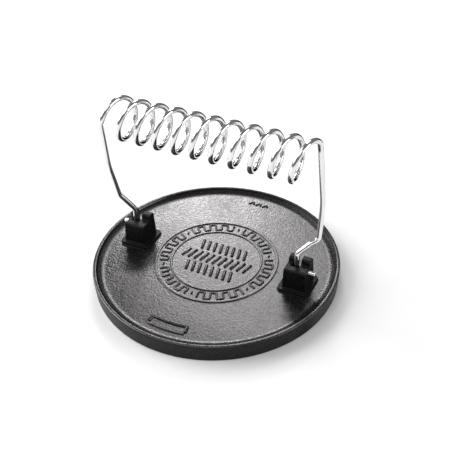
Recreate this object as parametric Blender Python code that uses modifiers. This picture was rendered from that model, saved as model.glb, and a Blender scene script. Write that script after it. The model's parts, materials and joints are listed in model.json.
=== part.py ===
"""A round cast-iron grill press: a rimmed plate, two lugs and a coiled-wire handle that folds back.

The origin is the centre of the flat pressing face, +Z points up, and X runs from lug to lug.
All values are in metres and radians.
"""

import math

import bmesh
import bpy
from mathutils import Matrix, Vector

GAP = 0.0003  # between pieces that touch

# The plate, turned about Z.
PLATE_RADIUS = 0.09525
PLATE_DRAFT = 0.0008  # how much smaller the bottom is than the widest point
PLATE_CHAMFER = 0.0010
FLOOR_HEIGHT = 0.0109
RIM_HEIGHT = 0.0140
RIM_WIDTH = 0.0038
RIM_ROUNDING = 0.0012
RIM_FILLET = 0.0022
PLATE_STEPS = 96

# The raised badge in the middle of the plate.
RELIEF = 0.0008
RELIEF_DRAFT = 0.0003
RING_RADII = (0.0348, 0.0470)
RING_WIDTH = 0.0014
BAND_BLOCKS = 24
BAND_BLOCK = (0.0062, 0.0042)  # along the radius, along the band
BADGE_BARS = ((0.0125, 0.026), (0.0, 0.050), (-0.0125, 0.034))  # height on the badge, length
BADGE_BAR_WIDTH = 0.0065

# The lugs. Places along X are for the right lug, and the left lug mirrors them, all but its slot:
# both slots sit off their lug's middle to the same side.
LUG_INNER = 0.0584
LUG_OUTER = 0.0766
LUG_FRONT = -0.0093
LUG_BACK = 0.0095
LUG_DRAFT = 0.0008
STOP_HEIGHT = 0.0295
EAR_FRONT = 0.0015
EAR_HEIGHT = 0.0336
EAR_ROUNDING = 0.0022
PAD_MARGIN = 0.0031
PAD_HEIGHT = 0.0130
PAD_ROUNDING = 0.0030
SLOT_SHIFT = -0.0019
SLOT_WIDTH = 0.0066
SLOT_FRONT = -0.0023
SLOT_FLOOR = 0.0208

# The handle: one wire, from one bent-out end to the other.
WIRE_RADIUS = 0.0020
PIVOT_HEIGHT = 0.0253
PIN_REACH = 0.0808
PIN_CLEARANCE = 0.00035
COIL_RADIUS = 0.0151  # to the centre of the wire
COIL_LENGTH = 0.1459  # from the first top to the last
COIL_TURNS = 10
COIL_FIRST = -0.25  # the turns at which the legs leave the coil
COIL_LAST = 10.14
COIL_CENTRE = Vector((-0.0015, -0.0015, 0.1212))
COIL_LEAN = 0.072  # how far each turn's top leans towards +X
COIL_SKEW = 0.100  # how far each turn's back leans towards +X
COIL_STEPS = 18
BEND_STEPS = 5
LEG_IN_SLOT = {"left": -0.0702, "right": 0.0662}

# Each leg below the coil, as points with the radius of the bend there.
LEFT_LEG = (
    ((-0.0786, -0.0150, 0.0870), 0.080),
    ((-0.0768, -0.0090, 0.0570), 0.008),
    ((LEG_IN_SLOT["left"], 0.0, 0.0398), 0.005),
)
RIGHT_LEG = (
    ((0.0752, 0.0128, 0.1230), 0.010),
    ((0.0793, 0.0130, 0.0780), 0.120),
    ((0.0776, 0.0120, 0.0480), 0.004),
    ((0.0734, 0.0078, 0.0465), 0.006),
    ((LEG_IN_SLOT["right"], 0.0, 0.0405), 0.004),
)
PIN_BEND = 0.0025


def clear_scene():
    for thing in list(bpy.data.objects):
        bpy.data.objects.remove(thing, do_unlink=True)


def new_collection(name):
    collection = bpy.data.collections.new(name)
    bpy.context.scene.collection.children.link(collection)
    return collection


def material(name, color, roughness, metallic):
    made = bpy.data.materials.new(name)
    made.use_nodes = True
    shader = made.node_tree.nodes["Principled BSDF"]
    shader.inputs["Base Color"].default_value = (*color, 1.0)
    shader.inputs["Roughness"].default_value = roughness
    shader.inputs["Metallic"].default_value = metallic
    return made


def object_from(mesh, name, collection):
    obj = bpy.data.objects.new(name, mesh)
    collection.objects.link(obj)
    return obj


def object_from_bmesh(bm, name, collection):
    mesh = bpy.data.meshes.new(name)
    bmesh.ops.recalc_face_normals(bm, faces=bm.faces)
    bm.to_mesh(mesh)
    bm.free()
    return object_from(mesh, name, collection)


def as_cutter(obj):
    obj.hide_render = True
    obj.display_type = "WIRE"
    return obj


def boolean(obj, other, operation):
    modifier = obj.modifiers.new(f"{operation.lower()}_{other.name}", "BOOLEAN")
    modifier.operation = operation
    modifier.solver = "EXACT"
    modifier.object = other


def shade(mesh, sharp_degrees=35):
    mesh.shade_smooth()
    mesh.set_sharp_from_angle(angle=math.radians(sharp_degrees))


def add_box(bm, low, high):
    """A box between two corners, added to a bmesh."""
    size = Vector(high) - Vector(low)
    made = bmesh.ops.create_cube(bm, size=1.0)["verts"]
    bmesh.ops.scale(bm, vec=size, verts=made)
    bmesh.ops.translate(bm, vec=(Vector(low) + Vector(high)) / 2, verts=made)
    return made


def rounded(points, steps=BEND_STEPS):
    """An open path through (point, radius) pairs, with each inner corner rounded to its radius."""
    places = [Vector(point) for point, _ in points]
    path = [places[0]]
    for i in range(1, len(places) - 1):
        corner = places[i]
        back = places[i - 1] - corner
        on = places[i + 1] - corner
        half_angle = back.angle(on) / 2
        reach = points[i][1] / math.tan(half_angle)
        reach = min(reach, 0.45 * back.length, 0.45 * on.length)
        start = corner + back.normalized() * reach
        end = corner + on.normalized() * reach
        turns = math.pi - 2 * half_angle
        centre = corner + (back.normalized() + on.normalized()).normalized() * (
            reach / math.cos(half_angle)
        )
        arm = start - centre
        side = (end - centre) - arm * math.cos(turns)
        side = side.normalized() * arm.length
        for step in range(steps + 1):
            angle = turns * step / steps
            path.append(centre + arm * math.cos(angle) + side * math.sin(angle))
    path.append(places[-1])
    return path


# The plate.


def plate_profile():
    """The plate's outline as (radius, height), from the middle of the floor to the middle underneath."""
    inner = PLATE_RADIUS - RIM_WIDTH
    corners = [((0.0, FLOOR_HEIGHT, 0.0), 0.0)]
    for ring in RING_RADII:
        low, high = ring - RING_WIDTH / 2, ring + RING_WIDTH / 2
        top = FLOOR_HEIGHT + RELIEF
        corners += [
            ((low, FLOOR_HEIGHT, 0.0), 0.0),
            ((low + RELIEF_DRAFT, top, 0.0), 0.0),
            ((high - RELIEF_DRAFT, top, 0.0), 0.0),
            ((high, FLOOR_HEIGHT, 0.0), 0.0),
        ]
    corners += [
        ((inner, FLOOR_HEIGHT, 0.0), RIM_FILLET),
        ((inner + 0.0006, RIM_HEIGHT, 0.0), RIM_ROUNDING),
        ((PLATE_RADIUS, RIM_HEIGHT, 0.0), RIM_ROUNDING),
        ((PLATE_RADIUS - PLATE_DRAFT, 0.0, 0.0), PLATE_CHAMFER),
        ((0.0, 0.0, 0.0), 0.0),
    ]
    path = [corners[0][0]]
    for i in range(1, len(corners) - 1):
        if corners[i][1] == 0.0:
            path.append(corners[i][0])
        else:
            path += rounded([corners[i - 1], corners[i], corners[i + 1]], 3)[1:-1]
    path.append(corners[-1][0])
    return [(point[0], point[1]) for point in path]


def make_relief(collection):
    """The blocks round the badge's band and the bars across its middle, as one set of solids."""
    bm = bmesh.new()
    foot = FLOOR_HEIGHT - 0.001
    top = FLOOR_HEIGHT + RELIEF
    band = sum(RING_RADII) / 2
    deep, wide = BAND_BLOCK
    for i in range(BAND_BLOCKS):
        block = add_box(
            bm, (band - deep / 2, -wide / 2, foot), (band + deep / 2, wide / 2, top)
        )
        turn = Matrix.Rotation(2 * math.pi * (i + 0.5) / BAND_BLOCKS, 3, "Z")
        bmesh.ops.rotate(bm, verts=block, cent=(0, 0, 0), matrix=turn)
    for height, length in BADGE_BARS:
        half = BADGE_BAR_WIDTH / 2
        add_box(
            bm, (-length / 2, height - half, foot), (length / 2, height + half, top)
        )
    return as_cutter(object_from_bmesh(bm, "badge_relief", collection))


def make_plate(collection, cutters, iron):
    mesh = bpy.data.meshes.new("press_plate")
    profile = plate_profile()
    points = [(radius, 0.0, height) for radius, height in profile]
    mesh.from_pydata(points, [(i, i + 1) for i in range(len(points) - 1)], [])
    plate = object_from(mesh, "press_plate", collection)
    screw = plate.modifiers.new("turned", "SCREW")
    screw.axis = "Z"
    screw.steps = PLATE_STEPS
    screw.render_steps = PLATE_STEPS
    screw.use_merge_vertices = True
    screw.merge_threshold = 0.00001
    screw.use_smooth_shade = True
    boolean(plate, make_relief(cutters), "UNION")
    mesh.materials.append(iron)
    return plate


# The lugs.


def lug_outline():
    """A lug seen from the side, as (along Y, up): a low stop in front and tall ears behind."""
    foot = PAD_HEIGHT - 0.0006
    front_top = LUG_FRONT + LUG_DRAFT
    back_top = LUG_BACK - LUG_DRAFT
    corners = [
        ((LUG_FRONT, foot, 0.0), 0.0),
        ((front_top, STOP_HEIGHT, 0.0), 0.0014),
        ((EAR_FRONT, STOP_HEIGHT, 0.0), 0.0010),
        ((EAR_FRONT + 0.0003, EAR_HEIGHT, 0.0), EAR_ROUNDING),
        ((back_top, EAR_HEIGHT, 0.0), EAR_ROUNDING),
        ((LUG_BACK, foot, 0.0), 0.0),
    ]
    return [(point.x, point.y) for point in rounded(corners, 4)]


def make_lug_body(name, side, collection):
    """The outline extruded across X, and narrowed towards its top."""
    bm = bmesh.new()
    middle = side * (LUG_INNER + LUG_OUTER) / 2
    half = (LUG_OUTER - LUG_INNER) / 2
    foot = PAD_HEIGHT - 0.0006
    face = bm.faces.new([bm.verts.new((-half, y, z)) for y, z in lug_outline()])
    swept = bmesh.ops.extrude_face_region(bm, geom=[face])["geom"]
    far = [thing for thing in swept if isinstance(thing, bmesh.types.BMVert)]
    bmesh.ops.translate(bm, vec=(2 * half, 0, 0), verts=far)
    for vert in bm.verts:
        rise = (vert.co.z - foot) / (EAR_HEIGHT - foot)
        vert.co.x *= 1 - LUG_DRAFT * rise / half
        vert.co.x += middle
    return object_from_bmesh(bm, name, collection)


def make_pad(side, collection):
    """The foot that a lug stands on, with its corners rounded."""
    bm = bmesh.new()
    across = sorted((side * (LUG_INNER - PAD_MARGIN), side * (LUG_OUTER + PAD_MARGIN)))
    low = (across[0], LUG_FRONT - PAD_MARGIN, FLOOR_HEIGHT + GAP)
    high = (across[1], LUG_BACK + PAD_MARGIN, PAD_HEIGHT)
    add_box(bm, low, high)
    upright = [
        edge for edge in bm.edges if abs(edge.verts[0].co.z - edge.verts[1].co.z) > GAP
    ]
    bmesh.ops.bevel(
        bm, geom=upright, offset=PAD_ROUNDING, segments=4, profile=0.5, affect="EDGES"
    )
    around = [
        edge for edge in bm.edges if min(v.co.z for v in edge.verts) > PAD_HEIGHT - GAP
    ]
    bmesh.ops.bevel(
        bm, geom=around, offset=0.0007, segments=2, profile=0.5, affect="EDGES"
    )
    return as_cutter(object_from_bmesh(bm, f"pad_{name_of(side)}", collection))


def slot_middle(side):
    return side * (LUG_INNER + LUG_OUTER) / 2 + SLOT_SHIFT


def make_slot(side, collection):
    """The slot that the wire stands in, open at the top and the back."""
    bm = bmesh.new()
    add_box(
        bm,
        (slot_middle(side) - SLOT_WIDTH / 2, SLOT_FRONT, SLOT_FLOOR),
        (slot_middle(side) + SLOT_WIDTH / 2, LUG_BACK + 0.002, EAR_HEIGHT + 0.002),
    )
    return as_cutter(object_from_bmesh(bm, f"slot_{name_of(side)}", collection))


def make_pin_hole(side, collection):
    """The hole through the outer ear."""
    bm = bmesh.new()
    length = 0.014
    made = bmesh.ops.create_cone(
        bm,
        cap_ends=True,
        segments=24,
        radius1=WIRE_RADIUS + PIN_CLEARANCE,
        radius2=WIRE_RADIUS + PIN_CLEARANCE,
        depth=length,
    )["verts"]
    along_x = Matrix.Rotation(math.pi / 2, 3, "Y")
    bmesh.ops.rotate(bm, verts=made, cent=(0, 0, 0), matrix=along_x)
    middle = slot_middle(side) + side * length / 2
    bmesh.ops.translate(bm, verts=made, vec=(middle, 0, PIVOT_HEIGHT))
    return as_cutter(object_from_bmesh(bm, f"pin_hole_{name_of(side)}", collection))


def name_of(side):
    return "right" if side > 0 else "left"


def make_lug(side, collection, cutters, iron):
    lug = make_lug_body(f"{name_of(side)}_lug", side, collection)
    boolean(lug, make_pad(side, cutters), "UNION")
    boolean(lug, make_slot(side, cutters), "DIFFERENCE")
    boolean(lug, make_pin_hole(side, cutters), "DIFFERENCE")
    lug.data.materials.append(iron)
    shade(lug.data)
    return lug


# The handle.


def coil_point(turn):
    """The wire's centre, `turn` turns on from the coil's first top."""
    angle = 2 * math.pi * turn
    back = COIL_RADIUS * math.sin(angle)
    up = COIL_RADIUS * math.cos(angle)
    along = (turn / COIL_TURNS - 0.5) * COIL_LENGTH + COIL_SKEW * back + COIL_LEAN * up
    return COIL_CENTRE + Vector((along, back, up))


def wire_path():
    """The wire's centre line: left pin, left leg in front, coil, right leg behind, right pin."""
    pivot = PIVOT_HEIGHT
    left = [((-PIN_REACH, 0.0, pivot), 0.0), ((LEG_IN_SLOT["left"], 0.0, pivot), PIN_BEND)]
    left += [*reversed(LEFT_LEG), (coil_point(COIL_FIRST), 0.0)]
    right = [(coil_point(COIL_LAST), 0.0), *RIGHT_LEG]
    right += [((LEG_IN_SLOT["right"], 0.0, pivot), PIN_BEND), ((PIN_REACH, 0.0, pivot), 0.0)]
    span = COIL_LAST - COIL_FIRST
    count = round(span * COIL_STEPS)
    coil = [coil_point(COIL_FIRST + span * i / count) for i in range(1, count)]
    return rounded(left) + coil + rounded(right)


def make_handle(collection, chrome):
    curve = bpy.data.curves.new("coil_handle", "CURVE")
    curve.dimensions = "3D"
    curve.bevel_depth = WIRE_RADIUS
    curve.bevel_resolution = 2
    curve.use_fill_caps = True
    spline = curve.splines.new("POLY")
    path = wire_path()
    spline.points.add(len(path) - 1)
    axis = Vector((0, 0, PIVOT_HEIGHT))
    for point, place in zip(spline.points, path):
        point.co = (*(place - axis), 1.0)
    spline.use_smooth = True
    curve.materials.append(chrome)
    handle = object_from(curve, "coil_handle", collection)
    handle.location = axis
    return handle


def main():
    clear_scene()
    parts = new_collection("grill_press")
    cutters = new_collection("cutters")
    iron = material("black_cast_iron", (0.035, 0.034, 0.034), 0.42, 0.2)
    chrome = material("chrome_wire", (0.80, 0.80, 0.80), 0.08, 1.0)
    make_plate(parts, cutters, iron)
    for side in (-1, 1):
        make_lug(side, parts, cutters, iron)
    make_handle(parts, chrome)


main()
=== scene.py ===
"""Looks for a round cast-iron grill press with a coiled-wire handle.

Metres, +Z up, X from lug to lug.
"""

import json
import math

import bmesh
import bpy
from mathutils import Matrix, Vector, noise


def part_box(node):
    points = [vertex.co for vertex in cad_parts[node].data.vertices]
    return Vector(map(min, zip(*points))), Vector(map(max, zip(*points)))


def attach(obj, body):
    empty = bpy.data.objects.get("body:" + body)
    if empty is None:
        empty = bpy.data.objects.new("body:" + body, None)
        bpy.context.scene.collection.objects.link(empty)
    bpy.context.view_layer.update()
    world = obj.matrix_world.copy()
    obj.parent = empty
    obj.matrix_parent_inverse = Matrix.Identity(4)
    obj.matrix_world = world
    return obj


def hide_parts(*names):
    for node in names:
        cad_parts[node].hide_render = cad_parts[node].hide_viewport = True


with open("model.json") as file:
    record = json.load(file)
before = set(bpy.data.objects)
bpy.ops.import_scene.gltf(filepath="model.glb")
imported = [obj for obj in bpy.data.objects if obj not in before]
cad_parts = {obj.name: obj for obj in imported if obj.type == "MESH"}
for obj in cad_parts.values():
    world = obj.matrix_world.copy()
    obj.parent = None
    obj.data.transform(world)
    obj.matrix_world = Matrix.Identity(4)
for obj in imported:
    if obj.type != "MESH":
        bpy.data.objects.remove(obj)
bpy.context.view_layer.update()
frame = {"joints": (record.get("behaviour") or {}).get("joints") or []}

MM = 0.001
PIVOT = Vector(frame["joints"][0]["pos_m"])

# Camera.
CAMERA_PLACE = Vector((0.2163, -0.4064, 0.4022))
CAMERA_AIM = Vector((0.0108, -0.0030, 0.0500))
CAMERA_ROLL = math.radians(-1.786)
CAMERA_LENS = 62.0

# Plate.
PLATE_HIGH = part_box("press_plate")[1]
PLATE_RADIUS = PLATE_HIGH.x
RIM_TOP = PLATE_HIGH.z
FLOOR = 10.9 * MM
SIDE_DRAFT = 0.8 * MM
FOOT_ROUNDING = 1.2 * MM
RIM_WIDTH = 3.6 * MM
RIM_INNER = PLATE_RADIUS - RIM_WIDTH
RIM_ROUNDING = 0.42 * RIM_WIDTH
FLOOR_FILLET = 2.0 * MM
RIM_DRAFT = 0.7 * MM
SWEEP_WIDTH = 4.0 * MM  # the floor's edge, where it starts to rise towards the rim
SWEEP_RISE = 1.6 * MM
SWEEP_ROUNDING = 9 * MM
PLATE_STEPS = 480
RING_STEP = 1.0 * MM

# Bars and bends.
BEND_STEPS = 10
DOME_HEIGHT = 0.4  # of the bar's radius
DOME_STEPS = 5

# Unevenness of the casting: depth, and the size of a wave.
PLATE_WAVE = (0.05 * MM, 9 * MM)
PLATE_PEBBLE = (0.02 * MM, 2.3 * MM)
LUG_WAVE = (0.05 * MM, 5 * MM)

# Badge.
RELIEF = 0.8 * MM
RINGS = ((34.8 * MM, 1.8 * MM), (47.0 * MM, 2.3 * MM))  # middle radius, width
RING_DRAFT, RING_FILLET = 0.1 * MM, 0.1 * MM
STROKE_RADIUS = 0.88 * MM
STROKE_SIDES = 12
BAND_RADIUS = 40.9 * MM
BAND_HEIGHT = 6.4 * MM
BAND_ROUNDING = 0.9 * MM
BAND_GROUPS = 6
GROUP_RUNGS = 8
DOT_RADIUS = 1.3 * MM
DOT_REACH = Vector((0.7 * MM, 0, 0))
ROWS = ((13.6 * MM, 8, -1), (0.0, 11, 1), (-13.6 * MM, 8, -1))  # height on the badge, strokes, slant
ROW_PITCH = 5.2 * MM
ROW_STROKE = 10.6 * MM
ROW_SLANT = 2.6 * MM
ROW_RADIUS = 1.3 * MM
ROW_SINK = 0.2 * MM
ROW_SIDES = 14
FRONT_MARK = (74.3 * MM, 82.0 * MM)  # from the axis to the bracket, and to the line in front of it
FRONT_SPREAD = 0.185  # half the angle that they take up, in radians
BRACKET_REACH = 6.2 * MM  # of its two ends, which turn outwards
BRACKET_RADIUS = 1.35 * MM
BACK_MARK = (77.0 * MM, 82.0 * MM)  # Y of a dash's foot and of its tip
BACK_DASHES = (-7.5 * MM, -1.5 * MM, 4.5 * MM)  # X of each dash's foot

# Lugs.
LUG_INNER, LUG_OUTER = 58.4 * MM, 76.6 * MM
LUG_FRONT, LUG_BACK = -9.3 * MM, 9.5 * MM
LUG_DRAFT = 0.8 * MM
STOP_TOP = 29.5 * MM
EAR_FRONT = 1.5 * MM
EAR_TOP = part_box("right_lug")[1].z
LUG_ROOT = FLOOR - 1.0 * MM
PAD_MARGIN = 3.1 * MM
PAD_TOP = 13.0 * MM
PAD_ROUNDING = 3.0 * MM
SLAB_MARGIN = PAD_MARGIN + 2.2 * MM
SLAB_FOOT, SLAB_TOP = FLOOR - 1.6 * MM, FLOOR - 0.05 * MM
SLAB_ROUNDING = 5.0 * MM
LUG_MIDDLE = (LUG_INNER + LUG_OUTER) / 2
SLOT_SHIFT = -1.9 * MM
SLOT_WIDTH = 6.6 * MM
SLOT_FRONT = -2.3 * MM
SLOT_FLOOR = 20.8 * MM
HOLE_RADIUS = 2.35 * MM
HOLE_LENGTH = 14 * MM
VOXEL = 0.25 * MM

# Wire.
WIRE_RADIUS = 2.0 * MM
PIN_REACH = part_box("coil_handle")[1].x
COIL_RADIUS = 14.75 * MM
COIL_LENGTH = 145.9 * MM
COIL_TURNS = 10
COIL_FIRST, COIL_LAST = -0.25, 10.14
COIL_CENTRE = Vector((-1.5 * MM, -1.5 * MM, 121.2 * MM))
COIL_LEAN = 0.072  # shift along X with the height of a point on its turn
COIL_SKEW = 0.100  # and with how far back it is
COIL_STEPS = 48
PIN_BEND = 2.5 * MM
WIRE_SIDES = 24
LEG_IN_SLOT = (-70.2 * MM, 66.2 * MM)

# Corners of each leg from the coil down to its slot, and how far each is rounded.
LEFT_LEG = (
    ((-78.6 * MM, -15.0 * MM, 87.0 * MM), 80 * MM),
    ((-76.8 * MM, -9.0 * MM, 57.0 * MM), 8 * MM),
    ((LEG_IN_SLOT[0], 0.0, 39.8 * MM), 5 * MM),
)
RIGHT_LEG = (
    ((75.2 * MM, 12.8 * MM, 123.0 * MM), 10 * MM),
    ((79.3 * MM, 13.0 * MM, 78.0 * MM), 120 * MM),
    ((77.6 * MM, 12.0 * MM, 48.0 * MM), 4 * MM),
    ((73.4 * MM, 7.8 * MM, 46.5 * MM), 6 * MM),
    ((LEG_IN_SLOT[1], 0.0, 40.5 * MM), 4 * MM),
)

# Iron: its roughness, its colour and the colour of its specks.
PLATE_IRON = (0.24, (0.0045, 0.0043, 0.0044), (0.016, 0.0155, 0.0158))
LUG_IRON = (0.36, (0.004, 0.004, 0.004), (0.012, 0.012, 0.012))

# Coat of baked oil: how glossy it is, with painted shade cut into the plate's gloss on the strokes'
# flanks, at the floor's rising edge, at the back of the rim and in front of the lugs.
# Each pair is where a change begins and where it ends.
FLOOR_LEVEL, SIDE_LEVEL, LUG_LEVEL = 0.9, 0.18, 0.16
COAT_TINT = (1.0, 0.96, 0.975, 1.0)
SIDE_STARTS = (PLATE_RADIUS - 1.8 * MM, PLATE_RADIUS - 0.8 * MM)
RIM_EDGE = (RIM_TOP - 1.0 * MM, RIM_TOP - 0.3 * MM)
# Painted shade on the flanks of the raised strokes: their foot, their top, and where it stops
# outwards.
STROKE_FOOT = (FLOOR + 0.03 * MM, FLOOR + 0.12 * MM)
STROKE_TOP = (FLOOR + 0.40 * MM, FLOOR + 0.65 * MM)
MARKS_END = (83.6 * MM, 84.4 * MM)
# Painted shade at the foot of the rim, on the floor's rising edge.
EDGE_STARTS = (RIM_INNER - 6.5 * MM, RIM_INNER - 3.0 * MM)
EDGE_ENDS = (RIM_INNER - 0.4 * MM, RIM_INNER + 0.2 * MM)
# Painted shade on the rim towards the back: where it starts across the rim, and along Y.
RIM_STARTS = (RIM_INNER - 1.0 * MM, RIM_INNER)
BACK_SHADE_STARTS = (25 * MM, 65 * MM)
# Painted shade and reflection of the lugs in front of them: where it fades, how ragged it is, and
# its centres.
LUG_SHADE_ENDS = (5 * MM, 14 * MM)
LUG_SHADE_RAGGED = 3 * MM
LUG_SHADE_SPOTS = (
    (-63 * MM, -15 * MM),
    (-59 * MM, -23 * MM),
    (-55 * MM, -30 * MM),
    (73 * MM, -17 * MM),
    (76 * MM, -25 * MM),
    (79 * MM, -33 * MM),
)

# Studio. A panel: its azimuth from +Y towards -X, elevation, distance, size and power.
PANELS = {
    "back_panel": (30, 31, 2.6, (0.62, 0.46), 13),
    "high_panel": (21, 46, 2.6, (0.90, 0.86), 9),
    "top_panel": (180, 62, 2.4, (1.8, 1.2), 12),
    "left_panel": (98, 34, 2.6, (2.6, 2.0), 76),
    "right_panel": (-85, 22, 2.6, (1.5, 1.2), 25),
}
WORLD_STRENGTH = 0.20
SHEET_HEIGHT = -0.05 * MM
CARD_ROWS = ((0.14, 0.16, 0.001), (0.9, 1.5, 0.001), (0.9, 1.5, 0.25))  # half width, y, z


# Mesh helpers.


def link(name, data):
    obj = bpy.data.objects.new(name, data)
    bpy.context.scene.collection.objects.link(obj)
    return obj


def finish_bmesh(bm, name):
    bmesh.ops.recalc_face_normals(bm, faces=bm.faces)
    mesh = bpy.data.meshes.new(name)
    bm.to_mesh(mesh)
    bm.free()
    return link(name, mesh)


def shade(obj, degrees):
    obj.data.shade_smooth()
    obj.data.set_sharp_from_angle(angle=math.radians(degrees))


def apply_modifiers(obj):
    """The object's mesh becomes what its modifiers make of it."""
    graph = bpy.context.evaluated_depsgraph_get()
    mesh = bpy.data.meshes.new_from_object(obj.evaluated_get(graph))
    obj.modifiers.clear()
    obj.data = mesh


def boolean(obj, other, operation):
    modifier = obj.modifiers.new(other.name, "BOOLEAN")
    modifier.operation = operation
    modifier.solver = "EXACT"
    modifier.object = other
    apply_modifiers(obj)
    bpy.data.objects.remove(other, do_unlink=True)


def box(bm, low, high):
    made = bmesh.ops.create_cube(bm, size=1.0)["verts"]
    bmesh.ops.scale(bm, vec=Vector(high) - Vector(low), verts=made)
    bmesh.ops.translate(bm, vec=(Vector(low) + Vector(high)) / 2, verts=made)


def rounded(points, steps=BEND_STEPS):
    """An open path through (point, radius) pairs, with each inner corner rounded to its radius."""
    places = [Vector(point) for point, _ in points]
    path = [places[0]]
    for i in range(1, len(places) - 1):
        corner, radius = places[i], points[i][1]
        if radius == 0:
            path.append(corner)
            continue
        back = places[i - 1] - corner
        ahead = places[i + 1] - corner
        half = back.angle(ahead) / 2
        reach = min(radius / math.tan(half), 0.45 * back.length, 0.45 * ahead.length)
        start = corner + back.normalized() * reach
        end = corner + ahead.normalized() * reach
        inward = (back.normalized() + ahead.normalized()).normalized()
        centre = corner + inward * reach / math.cos(half)
        sweep = math.pi - 2 * half
        arm = start - centre
        side = ((end - centre) - arm * math.cos(sweep)).normalized() * arm.length
        for step in range(steps + 1):
            angle = sweep * step / steps
            path.append(centre + arm * math.cos(angle) + side * math.sin(angle))
    path.append(places[-1])
    return path


def turned(profile, steps, name):
    """A closed solid turned about Z from (radius, height) points that start and end on the axis."""
    bm = bmesh.new()
    angles = [2 * math.pi * i / steps for i in range(steps)]
    rings = []
    for radius, height in profile:
        if radius == 0:
            rings.append([bm.verts.new((0, 0, height))])
            continue
        rings.append(
            [bm.verts.new((radius * math.cos(a), radius * math.sin(a), height)) for a in angles]
        )
    for upper, lower in zip(rings, rings[1:]):
        for i in range(steps):
            ring = [upper[i % len(upper)], upper[(i + 1) % len(upper)]]
            ring += [lower[(i + 1) % len(lower)], lower[i % len(lower)]]
            bm.faces.new(list(dict.fromkeys(ring)))
    return finish_bmesh(bm, name)


def add_tube(bm, path, radius, sides):
    """A round bar along a path, with its two ends domed."""
    tangents = []
    for i in range(len(path)):
        ahead = path[min(i + 1, len(path) - 1)] - path[max(i - 1, 0)]
        tangents.append(ahead.normalized())
    dome = []
    for k in range(DOME_STEPS):
        angle = math.pi / 2 * k / DOME_STEPS
        dome.append((radius * DOME_HEIGHT * (1 - math.sin(angle)), radius * math.cos(angle)))
    leaving, arriving = tangents[0], tangents[-1]
    stations = [(path[0] + leaving * inset, leaving, size) for inset, size in reversed(dome)]
    stations += [(place, tangent, radius) for place, tangent in zip(path[1:-1], tangents[1:-1])]
    stations += [(path[-1] - arriving * inset, arriving, size) for inset, size in dome]
    angles = [2 * math.pi * k / sides for k in range(sides)]
    normal = leaving.orthogonal().normalized()
    rings = []
    for centre, tangent, size in stations:
        normal = (normal - tangent * normal.dot(tangent)).normalized()
        across = tangent.cross(normal)
        ring = [centre + (normal * math.cos(a) + across * math.sin(a)) * size for a in angles]
        rings.append([bm.verts.new(place) for place in ring])
    for lower, upper in zip(rings, rings[1:]):
        for k in range(sides):
            j = (k + 1) % sides
            bm.faces.new((lower[k], lower[j], upper[j], upper[k]))
    bm.faces.new(rings[0])
    bm.faces.new(rings[-1])


def waved(obj, depth, size, seed):
    """Presses a soft, uneven wave into the surface, as a sand mould leaves it."""
    shift = Vector((seed, seed * 1.7, seed * 2.3))
    normals = [vert.normal.copy() for vert in obj.data.vertices]
    for vert, normal in zip(obj.data.vertices, normals):
        wave = noise.noise(vert.co / size + shift) + 0.5 * noise.noise(vert.co * 2.7 / size + shift)
        vert.co += normal * depth * (wave - 1.0) / 2


# Plate.


def plate_profile():
    """The plate's outline from the middle of its floor, over the rim, to the middle underneath."""
    corners = [((0, FLOOR), 0)]
    for radius, width in RINGS:
        low, high = radius - width / 2, radius + width / 2
        top = FLOOR + RELIEF
        corners += [((low, FLOOR), RING_FILLET), ((low + RING_DRAFT, top), width / 2)]
        corners += [((high - RING_DRAFT, top), width / 2), ((high, FLOOR), RING_FILLET)]
    corners += [
        ((RIM_INNER - SWEEP_WIDTH, FLOOR), SWEEP_ROUNDING),
        ((RIM_INNER, FLOOR + SWEEP_RISE), FLOOR_FILLET),
        ((RIM_INNER + RIM_DRAFT, RIM_TOP), RIM_ROUNDING),
        ((PLATE_RADIUS, RIM_TOP), RIM_ROUNDING),
        ((PLATE_RADIUS - SIDE_DRAFT, 0), FOOT_ROUNDING),
        ((0, 0), 0),
    ]
    path = rounded([((x, z, 0), radius) for (x, z), radius in corners], 6)
    return subdivided([(point.x, point.y) for point in path], RING_STEP)


def subdivided(points, longest):
    """The same outline with no stretch longer than `longest`."""
    out = [points[0]]
    for start, end in zip(points, points[1:]):
        count = max(1, math.ceil(math.dist(start, end) / longest))
        for i in range(1, count + 1):
            out.append(tuple(a + (b - a) * i / count for a, b in zip(start, end)))
    return out


def make_plate():
    plate = turned(plate_profile(), PLATE_STEPS, "cast_plate")
    waved(plate, *PLATE_WAVE, seed=3.1)
    waved(plate, *PLATE_PEBBLE, seed=5.9)
    shade(plate, 50)
    return plate


# Badge: raised strokes without any meaning, on the plate's floor.


def on_floor(radius, angle):
    return Vector((radius * math.sin(angle), radius * math.cos(angle), FLOOR))


def square_wave(first, pitch):
    """A path across the band and back, once for each rung."""
    low, high = BAND_RADIUS - BAND_HEIGHT / 2, BAND_RADIUS + BAND_HEIGHT / 2
    path = []
    for i in range(GROUP_RUNGS):
        ends = (low, high) if i % 2 else (high, low)
        path += [(on_floor(radius, first + i * pitch), BAND_ROUNDING) for radius in ends]
    return rounded(path, 4)


def make_badge():
    """A square wave round the band, dots in its gaps, and three rows of slanted strokes inside."""
    bm = bmesh.new()
    pitch = 2 * math.pi / (BAND_GROUPS * (GROUP_RUNGS + 1))
    for group in range(BAND_GROUPS):
        first = group * (GROUP_RUNGS + 1) * pitch
        dot = on_floor(BAND_RADIUS, first)
        add_tube(bm, [dot - DOT_REACH, dot + DOT_REACH], DOT_RADIUS, STROKE_SIDES)
        add_tube(bm, square_wave(first + pitch, pitch), STROKE_RADIUS, STROKE_SIDES)
    for height, count, slant in ROWS:
        for i in range(count):
            middle = Vector(((i - (count - 1) / 2) * ROW_PITCH, height, FLOOR - ROW_SINK))
            reach = Vector((slant * ROW_SLANT, ROW_STROKE, 0)) / 2
            add_tube(bm, [middle - reach, middle + reach], ROW_RADIUS, ROW_SIDES)
    make_marks(bm)
    badge = finish_bmesh(bm, "raised_badge")
    shade(badge, 60)
    return badge


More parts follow.
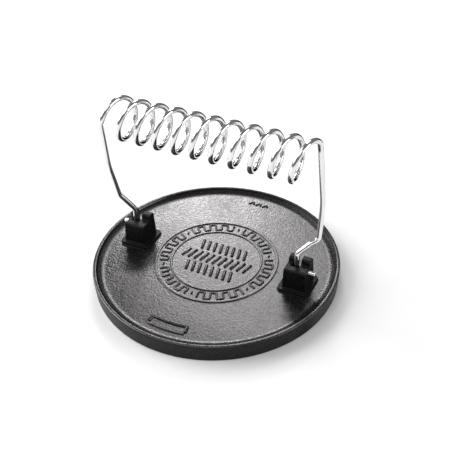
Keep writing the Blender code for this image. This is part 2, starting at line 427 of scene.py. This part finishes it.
def make_marks(bm):
    """A curved bracket and a line at the front of the floor, and three short dashes at the back."""
    near, far = FRONT_MARK
    arc = [math.pi + FRONT_SPREAD * (i / 8 - 1) for i in range(17)]
    bracket = [(on_floor(near + BRACKET_REACH, arc[0]), 0)]
    bracket += [(on_floor(near, angle), 2 * MM) for angle in arc]
    bracket.append((on_floor(near + BRACKET_REACH, arc[-1]), 0))
    add_tube(bm, rounded(bracket, 3), BRACKET_RADIUS, ROW_SIDES)
    add_tube(bm, [on_floor(far, angle) for angle in arc], STROKE_RADIUS, STROKE_SIDES)
    foot, tip = BACK_MARK
    for along in BACK_DASHES:
        low = Vector((along, foot, FLOOR))
        high = Vector((along + 3.2 * MM, tip, FLOOR))
        hook = Vector((along + 4.2 * MM, foot + 0.8 * MM, FLOOR))
        dash = rounded([(low, 0), (high, 1 * MM), (hook, 0)], 4)
        add_tube(bm, dash, STROKE_RADIUS, STROKE_SIDES)


# Lugs.


def lug_outline():
    """A lug seen from the side, as (along Y, up): a low stop in front and tall ears behind."""
    corners = [
        ((LUG_FRONT, LUG_ROOT, 0), 0),
        ((LUG_FRONT + LUG_DRAFT, STOP_TOP, 0), 1.6 * MM),
        ((EAR_FRONT, STOP_TOP, 0), 1.2 * MM),
        ((EAR_FRONT + 0.3 * MM, EAR_TOP, 0), 2.2 * MM),
        ((LUG_BACK - LUG_DRAFT, EAR_TOP, 0), 2.4 * MM),
        ((LUG_BACK, LUG_ROOT, 0), 0),
    ]
    return [(point.x, point.y) for point in rounded(corners, 8)]


def make_lug_body(side):
    bm = bmesh.new()
    half = (LUG_OUTER - LUG_INNER) / 2
    face = bm.faces.new([bm.verts.new((-half, y, z)) for y, z in lug_outline()])
    swept = bmesh.ops.extrude_face_region(bm, geom=[face])["geom"]
    far = [thing for thing in swept if isinstance(thing, bmesh.types.BMVert)]
    bmesh.ops.translate(bm, vec=(2 * half, 0, 0), verts=far)
    for vert in bm.verts:
        rise = (vert.co.z - FLOOR) / (EAR_TOP - FLOOR)
        vert.co.x = vert.co.x * (1 - LUG_DRAFT * rise / half) + side * LUG_MIDDLE
    return finish_bmesh(bm, f"cast_lug_{'right' if side > 0 else 'left'}")


def block(low, high, name, upright_rounding=0.0):
    """A box whose X corners may be given in either order, with its upright edges rounded."""
    bm = bmesh.new()
    across = sorted((low[0], high[0]))
    box(bm, (across[0], low[1], low[2]), (across[1], high[1], high[2]))
    if upright_rounding:
        upright = [e for e in bm.edges if abs(e.verts[0].co.z - e.verts[1].co.z) > 0.1 * MM]
        bmesh.ops.bevel(
            bm, geom=upright, offset=upright_rounding, segments=6, profile=0.5, affect="EDGES"
        )
    return finish_bmesh(bm, name)


def make_lug(side):
    """One lug, melted from its body, its pad and a hidden slab that gives its foot a fillet."""
    lug = make_lug_body(side)
    inner, outer = side * LUG_INNER, side * LUG_OUTER
    pad = block(
        (inner - side * PAD_MARGIN, LUG_FRONT - PAD_MARGIN, LUG_ROOT),
        (outer + side * PAD_MARGIN, LUG_BACK + PAD_MARGIN, PAD_TOP),
        "pad",
        PAD_ROUNDING,
    )
    boolean(lug, pad, "UNION")
    slab = block(
        (inner - side * SLAB_MARGIN, LUG_FRONT - SLAB_MARGIN, SLAB_FOOT),
        (outer + side * SLAB_MARGIN, LUG_BACK + SLAB_MARGIN, SLAB_TOP),
        "slab",
        SLAB_ROUNDING,
    )
    boolean(lug, slab, "UNION")
    middle = side * LUG_MIDDLE + SLOT_SHIFT
    slot = block(
        (middle - SLOT_WIDTH / 2, SLOT_FRONT, SLOT_FLOOR),
        (middle + SLOT_WIDTH / 2, LUG_BACK + 2 * MM, EAR_TOP + 2 * MM),
        "slot",
    )
    boolean(lug, slot, "DIFFERENCE")
    boolean(lug, make_hole(side), "DIFFERENCE")
    remesh = lug.modifiers.new("melt", "REMESH")
    remesh.mode = "VOXEL"
    remesh.voxel_size = VOXEL
    soften = lug.modifiers.new("soften", "SMOOTH")
    soften.factor = 0.5
    soften.iterations = 5
    apply_modifiers(lug)
    waved(lug, *LUG_WAVE, seed=7.7 + side)
    lug.data.shade_smooth()
    return lug


def make_hole(side):
    bm = bmesh.new()
    made = bmesh.ops.create_cone(
        bm, cap_ends=True, segments=40, radius1=HOLE_RADIUS, radius2=HOLE_RADIUS, depth=HOLE_LENGTH
    )["verts"]
    bmesh.ops.rotate(bm, verts=made, cent=(0, 0, 0), matrix=Matrix.Rotation(math.pi / 2, 3, "Y"))
    middle = side * (LUG_MIDDLE + HOLE_LENGTH / 2) + SLOT_SHIFT
    bmesh.ops.translate(bm, verts=made, vec=(middle, PIVOT.y, PIVOT.z))
    return finish_bmesh(bm, "hole")


# Handle.


def coil_point(turn):
    """The wire's centre, `turn` turns on from the coil's first top."""
    angle = 2 * math.pi * turn
    back = COIL_RADIUS * math.sin(angle)
    up = COIL_RADIUS * math.cos(angle)
    along = (turn / COIL_TURNS - 0.5) * COIL_LENGTH + COIL_SKEW * back + COIL_LEAN * up
    return COIL_CENTRE + Vector((along, back, up))


def wire_path():
    left = [((-PIN_REACH, 0, PIVOT.z), 0), ((LEG_IN_SLOT[0], 0, PIVOT.z), PIN_BEND)]
    left += [*reversed(LEFT_LEG), (coil_point(COIL_FIRST), 0)]
    right = [(coil_point(COIL_LAST), 0), *RIGHT_LEG]
    right += [((LEG_IN_SLOT[1], 0, PIVOT.z), PIN_BEND), ((PIN_REACH, 0, PIVOT.z), 0)]
    span = COIL_LAST - COIL_FIRST
    count = round(span * COIL_STEPS)
    coil = [coil_point(COIL_FIRST + span * i / count) for i in range(1, count)]
    return rounded(left) + coil + rounded(right)


def make_handle():
    bm = bmesh.new()
    add_tube(bm, wire_path(), WIRE_RADIUS, WIRE_SIDES)
    handle = finish_bmesh(bm, "coiled_wire")
    shade(handle, 60)
    return handle


# Materials.


class Nodes:
    """A short way to write a material's nodes."""

    def __init__(self, name):
        self.material = bpy.data.materials.new(name)
        self.material.use_nodes = True
        self.tree = self.material.node_tree
        self.shader = self.tree.nodes["Principled BSDF"]
        self.place = self.add("ShaderNodeTexCoord").outputs["Object"]

    def add(self, kind, **settings):
        node = self.tree.nodes.new(kind)
        for key, value in settings.items():
            setattr(node, key, value)
        return node

    def join(self, output, socket):
        self.tree.links.new(output, socket)

    def noise(self, scale, detail=3.0, roughness=0.5, stretch=None):
        node = self.add("ShaderNodeTexNoise")
        node.inputs["Scale"].default_value = scale
        node.inputs["Detail"].default_value = detail
        node.inputs["Roughness"].default_value = roughness
        place = self.place
        if stretch:
            mapping = self.add("ShaderNodeMapping")
            mapping.inputs["Scale"].default_value = stretch
            self.join(place, mapping.inputs["Vector"])
            place = mapping.outputs["Vector"]
        self.join(place, node.inputs["Vector"])
        return node.outputs["Fac"]

    def cells(self, scale, smoothness=0.6):
        node = self.add("ShaderNodeTexVoronoi", feature="SMOOTH_F1")
        node.inputs["Scale"].default_value = scale
        node.inputs["Smoothness"].default_value = smoothness
        self.join(self.place, node.inputs["Vector"])
        return node.outputs["Distance"]

    def from_nearest(self, places):
        """The distance, seen from above, to the nearest of these (x, y) places."""
        flat = self.add("ShaderNodeVectorMath", operation="MULTIPLY")
        flat.inputs[1].default_value = (1, 1, 0)
        self.join(self.place, flat.inputs[0])
        nearest = None
        for x, y in places:
            apart = self.add("ShaderNodeVectorMath", operation="DISTANCE")
            self.join(flat.outputs["Vector"], apart.inputs[0])
            apart.inputs[1].default_value = (x, y, 0)
            distance = apart.outputs["Value"]
            nearest = distance if nearest is None else self.math("MINIMUM", nearest, distance)
        return nearest

    def along(self, axis):
        """The place along one of the object's own axes."""
        split = self.add("ShaderNodeSeparateXYZ")
        self.join(self.place, split.inputs["Vector"])
        return split.outputs[axis]

    def ranged(self, value, low, high, start=0.3, end=0.7):
        """From `low` at `start` to `high` at `end`. A noise keeps mostly between 0.3 and 0.7."""
        node = self.add("ShaderNodeMapRange")
        node.inputs["From Min"].default_value = start
        node.inputs["From Max"].default_value = end
        node.inputs["To Min"].default_value = low
        node.inputs["To Max"].default_value = high
        self.join(value, node.inputs["Value"])
        return node.outputs["Result"]

    def rise(self, value, start, end):
        """From 0 at `start` to 1 at `end`."""
        return self.ranged(value, 0.0, 1.0, start, end)

    def fall(self, value, start, end):
        """From 1 at `start` to 0 at `end`."""
        return self.ranged(value, 1.0, 0.0, start, end)

    def both(self, first, second):
        """1 where both are 1."""
        return self.math("MULTIPLY", first, second)

    def dulled(self, level, where, share):
        """The level, cut to a share of it where `where` is 1."""
        return self.math("MULTIPLY", level, self.ranged(where, 1.0, share, 0.0, 1.0))

    def math(self, operation, first, second):
        node = self.add("ShaderNodeMath", operation=operation)
        for socket, value in zip(node.inputs, (first, second)):
            if isinstance(value, (int, float)):
                socket.default_value = value
            else:
                self.join(value, socket)
        return node.outputs["Value"]

    def mixed(self, factor, first, second):
        """A colour between two colours, each a triple or another node's output."""
        node = self.add("ShaderNodeMix", data_type="RGBA")
        colors = [socket for socket in node.inputs if socket.type == "RGBA"]
        for socket, value in zip(colors, (first, second)):
            if isinstance(value, tuple):
                socket.default_value = (*value, 1.0)
            else:
                self.join(value, socket)
        self.join(factor, node.inputs["Factor"])
        return next(socket for socket in node.outputs if socket.type == "RGBA")

    def bump(self, height, strength, distance, under=None):
        node = self.add("ShaderNodeBump")
        node.inputs["Strength"].default_value = strength
        node.inputs["Distance"].default_value = distance
        self.join(height, node.inputs["Height"])
        if under:
            self.join(under, node.inputs["Normal"])
        return node.outputs["Normal"]

    def set(self, **values):
        for key, value in values.items():
            socket = self.shader.inputs[key.replace("_", " ")]
            if isinstance(value, (int, float, tuple)):
                socket.default_value = value
            else:
                self.join(value, socket)
        return self.material


def cast_iron(name, roughness, base, speck, coat):
    """Black seasoned iron: a pebbled sand-cast skin under a thin, uneven coat of baked oil."""
    nodes = Nodes(name)
    lumps = nodes.noise(430.0, 2.0, 0.55)
    pebbles = nodes.cells(760.0)
    grain = nodes.noise(1500.0, 2.0, 0.6)
    patches = nodes.noise(38.0, 4.0, 0.6)
    specks = nodes.noise(640.0, 2.0, 0.7)
    darker = tuple(value * 0.7 for value in base)
    color = nodes.mixed(nodes.ranged(patches, 0.0, 1.0), darker, base)
    color = nodes.mixed(nodes.rise(specks, 0.46, 0.66), color, speck)
    cloudy = nodes.ranged(patches, roughness - 0.03, roughness + 0.05)
    rough = nodes.math("ADD", cloudy, nodes.ranged(lumps, -0.05, 0.07))
    # For the plate, the level of gloss also carries painted shade.
    rough, level = coat(nodes, rough, patches)
    skin = nodes.bump(lumps, 0.5, 0.00017)
    skin = nodes.bump(pebbles, 0.5, 0.00013, skin)
    skin = nodes.bump(grain, 0.3, 0.00007, skin)
    return nodes.set(
        Base_Color=color,
        Roughness=rough,
        Metallic=0.0,
        Normal=skin,
        Specular_IOR_Level=level,
        Specular_Tint=COAT_TINT,
    )


def lug_coat(nodes, rough, patches):
    """A coat that is thin all over, as its roughness and its level of gloss."""
    return rough, LUG_LEVEL


def plate_coat_and_shade(nodes, rough, patches):
    """The same for a coat glossy on the floor and the rim and dull where it is thin, with painted
    shade in its gloss.
    """
    radius = nodes.from_nearest([(0, 0)])
    height = nodes.along("Z")

    # The side wall.
    side = nodes.both(nodes.rise(radius, *SIDE_STARTS), nodes.fall(height, *RIM_EDGE))
    rough = nodes.math("ADD", rough, nodes.ranged(side, 0.0, 0.15, 0.0, 1.0))
    level = nodes.ranged(side, FLOOR_LEVEL, SIDE_LEVEL, 0.0, 1.0)

    # Painted shade: less gloss on the flanks of the raised strokes, which darkens their outlines.
    shaded_flank = nodes.both(nodes.rise(height, *STROKE_FOOT), nodes.fall(height, *STROKE_TOP))
    shaded_flank = nodes.both(shaded_flank, nodes.fall(radius, *MARKS_END))
    level = nodes.dulled(level, shaded_flank, 0.12)

    # Painted shade: less gloss on the rising edge of the floor, at the foot of the rim.
    shaded_edge = nodes.both(nodes.rise(radius, *EDGE_STARTS), nodes.fall(radius, *EDGE_ENDS))
    level = nodes.dulled(level, shaded_edge, 0.5)

    # Painted shade: less gloss on the rim towards the back.
    back = nodes.both(nodes.rise(radius, *RIM_STARTS), nodes.rise(nodes.along("Y"), *BACK_SHADE_STARTS))
    level = nodes.dulled(level, back, 0.15)

    # Painted shade and reflection of the lugs: less gloss in patches in front of them.
    ragged = nodes.ranged(patches, -LUG_SHADE_RAGGED, LUG_SHADE_RAGGED)
    lug_shade = nodes.math("ADD", nodes.from_nearest(LUG_SHADE_SPOTS), ragged)
    return rough, nodes.both(level, nodes.ranged(lug_shade, 0.10, 1.0, *LUG_SHADE_ENDS))


def chrome_wire():
    """Bright chrome over drawn wire, with faint scuffs."""
    nodes = Nodes("chrome_wire_finish")
    scuffs = nodes.noise(900.0, 3.0, 0.7, stretch=(1.0, 1.0, 0.25))
    cloud = nodes.noise(60.0, 3.0, 0.5)
    color = nodes.mixed(nodes.ranged(cloud, 0.0, 1.0), (0.76, 0.76, 0.755), (0.84, 0.84, 0.84))
    rough = nodes.math("ADD", nodes.ranged(scuffs, 0.03, 0.12), nodes.ranged(cloud, 0.0, 0.05))
    skin = nodes.bump(scuffs, 0.05, 0.00002)
    return nodes.set(Base_Color=color, Roughness=rough, Metallic=1.0, Normal=skin)


def paper():
    nodes = Nodes("studio_floor")
    cloud = nodes.ranged(nodes.noise(30.0), 0.0, 1.0)
    color = nodes.mixed(cloud, (0.935, 0.935, 0.935), (0.95, 0.95, 0.95))
    return nodes.set(Base_Color=color, Roughness=0.9)


# Studio.


def make_floor():
    bm = bmesh.new()
    bmesh.ops.create_grid(bm, x_segments=8, y_segments=8, size=4.0)
    floor = finish_bmesh(bm, "floor")
    floor.location.z = SHEET_HEIGHT
    floor.data.materials.append(paper())


def black_card():
    nodes = Nodes("black_card")
    cloud = nodes.ranged(nodes.noise(30.0), 0.0, 1.0)
    color = nodes.mixed(cloud, (0.004, 0.004, 0.004), (0.006, 0.006, 0.006))
    return nodes.set(Base_Color=color, Roughness=0.9, Specular_IOR_Level=0.0)


def make_card():
    """A card behind the object, seen in reflections only, that gives bright metal its dark edges."""
    bm = bmesh.new()
    rows = [[bm.verts.new((side * half, y, z)) for side in (-1, 1)] for half, y, z in CARD_ROWS]
    for near, far in zip(rows, rows[1:]):
        bm.faces.new((near[0], near[1], far[1], far[0]))
    card = finish_bmesh(bm, "black_card")
    card.data.materials.append(black_card())
    card.visible_camera = False
    card.visible_diffuse = False
    card.visible_shadow = False


def make_panel(name, azimuth, elevation, distance, size, power):
    """A soft light that faces the origin and isn't seen itself."""
    light = bpy.data.lights.new(name, "AREA")
    light.shape = "RECTANGLE"
    light.size, light.size_y = size
    light.energy = power
    panel = link(name, light)
    turn = math.radians(azimuth)
    rise = math.radians(elevation)
    flat = distance * math.cos(rise)
    panel.location = (-flat * math.sin(turn), flat * math.cos(turn), distance * math.sin(rise))
    panel.rotation_euler = panel.location.to_track_quat("Z", "Y").to_euler()
    panel.visible_camera = False


def make_lights():
    for name, settings in PANELS.items():
        make_panel(name, *settings)
    world = bpy.data.worlds.new("studio")
    world.use_nodes = True
    background = world.node_tree.nodes["Background"]
    background.inputs["Color"].default_value = (1, 1, 1, 1)
    background.inputs["Strength"].default_value = WORLD_STRENGTH
    bpy.context.scene.world = world


def make_camera():
    data = bpy.data.cameras.new("camera")
    data.lens = CAMERA_LENS
    data.sensor_width = 36
    camera = link("camera", data)
    turn = (CAMERA_PLACE - CAMERA_AIM).to_track_quat("Z", "Y").to_matrix().to_4x4()
    camera.matrix_world = (
        Matrix.Translation(CAMERA_PLACE) @ turn @ Matrix.Rotation(CAMERA_ROLL, 4, "Z")
    )
    bpy.context.scene.camera = camera
    bpy.context.scene.view_settings.view_transform = "Standard"


def dress(piece, material, slot, body, *nodes):
    piece.data.materials.clear()
    piece.data.materials.append(material)
    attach(piece, body)
    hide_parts(*nodes)


def main():
    make_camera()
    make_lights()
    make_floor()
    make_card()
    iron = cast_iron("black_cast_iron_and_painted_shade", *PLATE_IRON, plate_coat_and_shade)
    lug_iron = cast_iron("black_lug_finish", *LUG_IRON, lug_coat)
    dress(make_plate(), iron, "black_cast_iron", "base", "press_plate")
    dress(make_badge(), iron, "black_cast_iron", "base", "press_plate")
    dress(make_lug(-1), lug_iron, "black_cast_iron", "base", "left_lug")
    dress(make_lug(1), lug_iron, "black_cast_iron", "base", "right_lug")
    dress(make_handle(), chrome_wire(), "chrome_wire", "handle", "coil_handle")


main()
